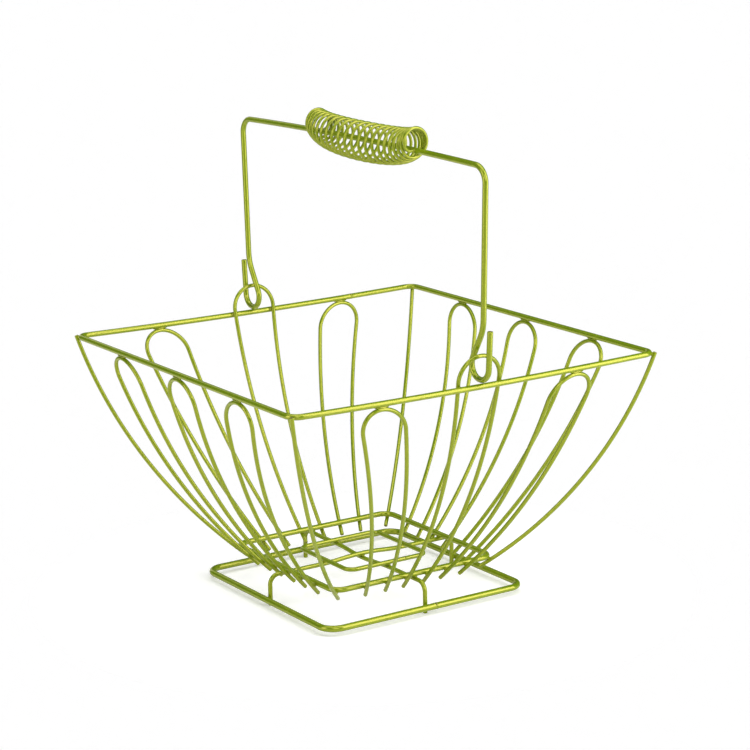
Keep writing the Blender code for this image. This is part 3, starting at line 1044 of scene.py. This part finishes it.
class BASKET_OT_grip(Operator):
    """Makes the coiled wire grip"""

    bl_idname = "basket.grip"
    bl_label = "Grip coil"

    def execute(self, context):
        sizes = context.scene.basket_sizes
        handle = context.scene.basket_handle
        path = grip_path(handle, sizes.weld_gap)
        make_wire("grip_coil", HANDLE, path, handle.grip_wire, handle_lacquer(sizes, handle),
                  sides=COIL_SIDES)
        return {"FINISHED"}


class BASKET_OT_welds(Operator):
    """Makes the small welds where wires meet"""

    bl_idname = "basket.welds"
    bl_label = "Welds"

    def execute(self, context):
        sizes = context.scene.basket_sizes
        handle = context.scene.basket_handle
        spot = sizes.weld_width
        for slot, body, rows in (
                ("top_rim", BASKET, ((corner_welds(sizes), sizes.rim_wire, spot),
                                     (eye_welds(sizes), sizes.rim_wire, sizes.eye_weld),
                                     (arch_welds(sizes), sizes.rim_wire, sizes.arch_weld))),
                ("lower_ring", BASKET, ((ring_welds(sizes), sizes.lower_wire, spot),)),
                ("inner_ring", BASKET, ((leg_welds(sizes), sizes.leg_wire, spot),)),
                ("foot_ring", BASKET, ((foot_welds(sizes), sizes.foot_wire, spot),)),
                ("grip_coil", HANDLE, ((grip_welds(handle, sizes.weld_gap), handle.wire, spot),))):
            bm = bmesh.new()
            for pairs, gauge, reach in rows:
                for pair in pairs:
                    add_weld(bm, sizes, pair, gauge, reach)
            bmesh.ops.recalc_face_normals(bm, faces=bm.faces[:])
            make_piece(bm, slot + "_welds", body, lacquer("weld_lacquer", weld=True))
        return {"FINISHED"}


class BASKET_OT_stage(Operator):
    """Makes the floor, the lamps, the world and the camera"""

    bl_idname = "basket.stage"
    bl_label = "Stage"

    def execute(self, context):
        look = context.scene.basket_stage
        make_floor(look)
        make_lamps(look)
        make_camera(look)
        context.scene.view_settings.view_transform = "Standard"
        return {"FINISHED"}


def make_floor(look):
    """Wide round floor of pale paper that turns up at its far edge."""
    bm = bmesh.new()
    bmesh.ops.create_circle(bm, cap_ends=True, segments=FLOOR_SEGMENTS, radius=look.floor_size / 2)
    made = bmesh.ops.extrude_edge_only(bm, edges=bm.edges[:])["geom"]
    edge = [part for part in made if isinstance(part, bmesh.types.BMVert)]
    bmesh.ops.translate(bm, verts=edge, vec=(0.0, 0.0, look.floor_edge))
    floor = make_object(bm, "floor", floor_paper(look))


def floor_paper(look):
    """Dull white paper: it keeps its shading round the basket and is plain white beyond.

    Reflections show the plain white as far as the sheet reaches, and it fades out beyond.
    """
    material = bpy.data.materials.new("floor_paper")
    material.use_nodes = True
    # The added white is only seen, straight or in reflections, and lights nothing
    material.cycles.emission_sampling = "NONE"
    tree = material.node_tree
    link = tree.links.new
    paper = tree.nodes["Principled BSDF"]
    paper.inputs["Base Color"].default_value = (*look.floor, 1.0)
    paper.inputs["Roughness"].default_value = look.floor_roughness
    paper.inputs["Specular IOR Level"].default_value = 0.0
    place = tree.nodes.new("ShaderNodeTexCoord").outputs["Object"]
    middle = add_node(tree, "ShaderNodeVectorMath", operation="LENGTH")
    link(place, middle.inputs[0])
    distance = middle.outputs["Value"]
    far = spread(tree, distance, look.shade_reach, look.white_reach, kind="SMOOTHSTEP")
    sheet = spread(tree, distance, look.sheet_reach, 2.0 * look.sheet_reach, 1.0, 0.0,
                   kind="SMOOTHSTEP")
    ray = tree.nodes.new("ShaderNodeLightPath").outputs
    mirrored_ray = largest(tree, ray["Is Glossy Ray"], ray["Is Transmission Ray"])
    reflected = product(tree, mirrored_ray, sheet)
    # The shaded paper is lifted for the eye alone, so that it is white outside the shadows
    paper.inputs["Emission Color"].default_value = (1.0, 1.0, 1.0, 1.0)
    link(spread(tree, ray["Is Camera Ray"], 0.0, 1.0, 0.0, look.shade_lift),
         paper.inputs["Emission Strength"])
    seen = product(tree, largest(tree, ray["Is Camera Ray"], reflected), far)
    # The white has a grain finer than a pixel, which averages to 1
    grain = tree.nodes.new("ShaderNodeTexWhiteNoise")
    link(place, grain.inputs["Vector"])
    white = tree.nodes.new("ShaderNodeEmission")
    link(spread(tree, grain.outputs["Value"], 0.0, 1.0, 1.0 - look.grain, 1.0 + look.grain),
         white.inputs["Strength"])
    mixed = tree.nodes.new("ShaderNodeMixShader")
    link(seen, mixed.inputs["Fac"])
    link(paper.outputs["BSDF"], mixed.inputs[1])
    link(white.outputs["Emission"], mixed.inputs[2])
    link(mixed.outputs["Shader"], tree.nodes["Material Output"].inputs["Surface"])
    return material


def make_softbox(name, brightness, place, facing, width, height):
    """Softbox of this size at a place, facing a direction."""
    lamp = bpy.data.lights.new(name, "AREA")
    lamp.shape = "RECTANGLE"
    lamp.size = width
    lamp.size_y = height
    # The power follows the area, so that a wider softbox is no brighter to look at
    lamp.energy = brightness * math.pi * width * height
    softbox = bpy.data.objects.new(name, lamp)
    softbox.location = place
    softbox.rotation_euler = facing.to_track_quat("-Z", "Y").to_euler()
    softbox.visible_camera = False
    bpy.context.scene.collection.objects.link(softbox)


def make_lamps(look):
    """Softboxes on the right, left and left rear, above the camera and overhead, and a sky."""
    for name, brightness, bearing, distance, low, width, height in (
            ("right_softbox", look.right_lamp, look.right_bearing, look.right_distance, 0.0,
             look.right_width, look.right_height),
            ("left_softbox", look.left_lamp, -look.left_bearing, look.left_distance, 0.0,
             look.left_width, look.left_height),
            ("front_softbox", look.front_lamp, look.front_bearing, look.front_distance,
             look.front_low, look.front_width, look.front_height),
            ("back_softbox", look.back_lamp, -look.back_bearing, look.back_distance, 0.0,
             look.back_width, look.back_height)):
        towards = direction(look.camera_azimuth + bearing, 0.0)
        place = towards * distance + Vector((0.0, 0.0, low + height / 2))
        make_softbox(name, brightness, place, -towards, width, height)
    make_softbox("top_softbox", look.top_lamp, Vector((0.0, 0.0, look.top_height)),
                 Vector((0.0, 0.0, -1.0)), look.top_width, look.top_width)
    world = bpy.data.worlds.new("studio")
    world.use_nodes = True
    sky = world.node_tree.nodes["Background"]
    sky.inputs["Color"].default_value = (1.0, 1.0, 1.0, 1.0)
    sky.inputs["Strength"].default_value = look.sky
    bpy.context.scene.world = world


def direction(azimuth, elevation):
    """Direction that a view from this azimuth and elevation comes from."""
    return Vector((math.sin(azimuth) * math.cos(elevation),
                   -math.cos(azimuth) * math.cos(elevation),
                   math.sin(elevation)))


def make_camera(look):
    """Camera at the picture's viewing angle."""
    back = direction(look.camera_azimuth, look.camera_elevation)
    level = Vector((math.cos(look.camera_azimuth), math.sin(look.camera_azimuth), 0.0))
    upright = back.cross(level)
    right = Quaternion(back, look.camera_roll) @ level
    up = Quaternion(back, look.camera_roll) @ upright
    camera = bpy.data.cameras.new("camera")
    camera.lens = look.camera_lens
    placed = bpy.data.objects.new("camera", camera)
    turn = Matrix((right, up, back)).transposed()
    placed.matrix_world = Matrix.Translation(look.camera_place) @ turn.to_4x4()
    bpy.context.scene.collection.objects.link(placed)
    bpy.context.scene.camera = placed


class BASKET_PT_panel(Panel):
    """Lists the steps that make the basket"""

    bl_idname = "BASKET_PT_panel"
    bl_label = "Wire basket"
    bl_space_type = "VIEW_3D"
    bl_region_type = "UI"
    bl_category = "Basket"

    def draw(self, context):
        for step in STEPS:
            self.layout.operator(step.bl_idname)


STEPS = (BASKET_OT_rings, BASKET_OT_legs, BASKET_OT_loops, BASKET_OT_corners, BASKET_OT_bail,
         BASKET_OT_grip, BASKET_OT_welds, BASKET_OT_stage)
GROUPS = {"basket_sizes": BasketSizes, "basket_handle": HandleSizes,
          "basket_lacquer": LacquerLook, "basket_stage": StageLook}
CLASSES = (*GROUPS.values(), *STEPS, BASKET_PT_panel)


def register():
    for cls in CLASSES:
        bpy.utils.register_class(cls)
    for name, group in GROUPS.items():
        setattr(bpy.types.Scene, name, PointerProperty(type=group))


def unregister():
    for name in GROUPS:
        delattr(bpy.types.Scene, name)
    for cls in reversed(CLASSES):
        bpy.utils.unregister_class(cls)


def main():
    register()
    bpy.ops.basket.rings()
    bpy.ops.basket.legs()
    bpy.ops.basket.loops()
    bpy.ops.basket.corners()
    bpy.ops.basket.bail()
    bpy.ops.basket.grip()
    bpy.ops.basket.welds()
    bpy.ops.basket.stage()


if __name__ == "__main__":
    main()
